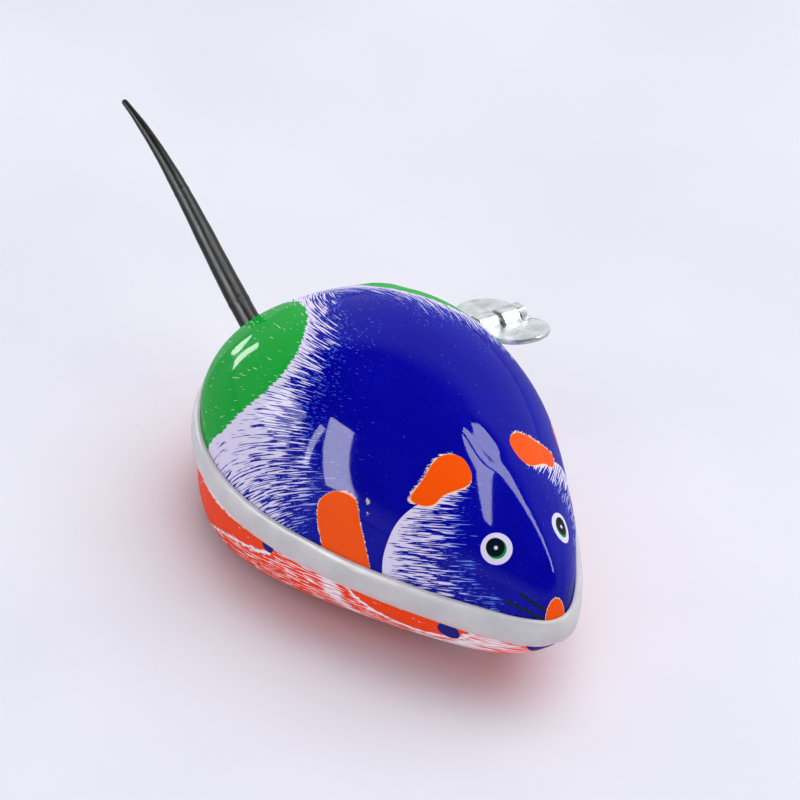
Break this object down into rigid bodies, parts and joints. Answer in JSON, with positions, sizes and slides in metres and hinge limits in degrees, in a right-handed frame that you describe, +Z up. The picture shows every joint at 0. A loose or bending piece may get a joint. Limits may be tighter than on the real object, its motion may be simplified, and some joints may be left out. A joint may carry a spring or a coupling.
{
  "type": "clockwork mouse",
  "caption": "Wind-up tin mouse: domed litho tin shell on a boat-shaped pan, clear edge strip at the seam, black tapered tail, butterfly key, spring motor and wheels underneath.",
  "frame": {"origin": "middle of the flat underside of the lower shell, on the mouse's mid-plane; the wheels reach 2.4 mm below it", "axes": "+X towards the nose, +Y towards the mouse's left, the winding key's side, +Z up"},
  "size_m": [0.1168, 0.0564, 0.0377],
  "materials": {
    "blue_litho_tin": "gloss",
    "orange_litho_tin": "gloss",
    "clear_guard": "frosted",
    "black_tail": "satin",
    "key_steel": "bright plated",
    "plated_steel": "plated",
    "spring_steel": "blued",
    "gear_brass": "stamped",
    "wheel_plastic": "satin",
    "black_rubber": "matte"
  },
  "bodies": {
    "chassis": {"upper_shell": "blue_litho_tin", "lower_shell": "orange_litho_tin", "edge_guard": "clear_guard", "tail": "black_tail", "motor_plate_left": "plated_steel", "motor_plate_right": "plated_steel", "rear_pillar": "plated_steel", "front_pillar": "plated_steel", "low_rear_pillar": "plated_steel", "low_front_pillar": "plated_steel", "frame_rivets": "plated_steel", "mainspring": "spring_steel", "front_fork": "plated_steel", "fork_rivets": "plated_steel", "front_wheel_pin": "plated_steel"},
    "great_wheel": {"great_wheel": "gear_brass", "click_rivet": "plated_steel", "click_spring": "spring_steel"},
    "click": {"click": "spring_steel"},
    "winder": {"winding_arbor": "plated_steel", "ratchet_wheel": "plated_steel", "arbor_collar": "gear_brass", "winding_key": "key_steel"},
    "second_arbor": {"second_arbor": "plated_steel", "second_wheel": "gear_brass", "second_pinion": "plated_steel"},
    "drive_axle": {"drive_axle": "plated_steel", "drive_pinion": "plated_steel", "drive_wheel_left": "wheel_plastic", "tyre_left": "black_rubber", "drive_wheel_right": "wheel_plastic", "tyre_right": "black_rubber"},
    "front_wheel": {"front_wheel": "wheel_plastic"}
  },
  "joints": [
    {"name": "mainspring_run", "type": "hinge", "parent": "chassis", "child": "great_wheel", "pos_m": [-0.017, 0, 0.02105], "axis": [0, 1, 0], "continuous": true},
    {"name": "key_wind", "type": "hinge", "parent": "great_wheel", "child": "winder", "pos_m": [-0.017, 0, 0.02105], "axis": [0, -1, 0], "range_deg": [0, 2160]},
    {"name": "click_lift", "type": "hinge", "parent": "great_wheel", "child": "click", "pos_m": [-0.011, 0.0019, 0.02424], "axis": [0, 1, 0], "range_deg": [0, 14], "stiffness_Nm_per_rad": 0.00002, "springref_deg": -5.73, "deforming": ["click_spring"]},
    {"name": "second_spin", "type": "hinge", "parent": "chassis", "child": "second_arbor", "pos_m": [-0.01241, 0, 0.00942], "axis": [0, 1, 0], "continuous": true},
    {"name": "drive_spin", "type": "hinge", "parent": "chassis", "child": "drive_axle", "pos_m": [-0.02, 0, 0.0056], "axis": [0, 1, 0], "continuous": true},
    {"name": "front_spin", "type": "hinge", "parent": "chassis", "child": "front_wheel", "pos_m": [0.016, 0, 0.0021], "axis": [0, 1, 0], "continuous": true}
  ],
  "couplings": [
    {"joint": "second_spin", "follows": "mainspring_run", "ratio": -4},
    {"joint": "drive_spin", "follows": "mainspring_run", "ratio": 9.6}
  ]
}
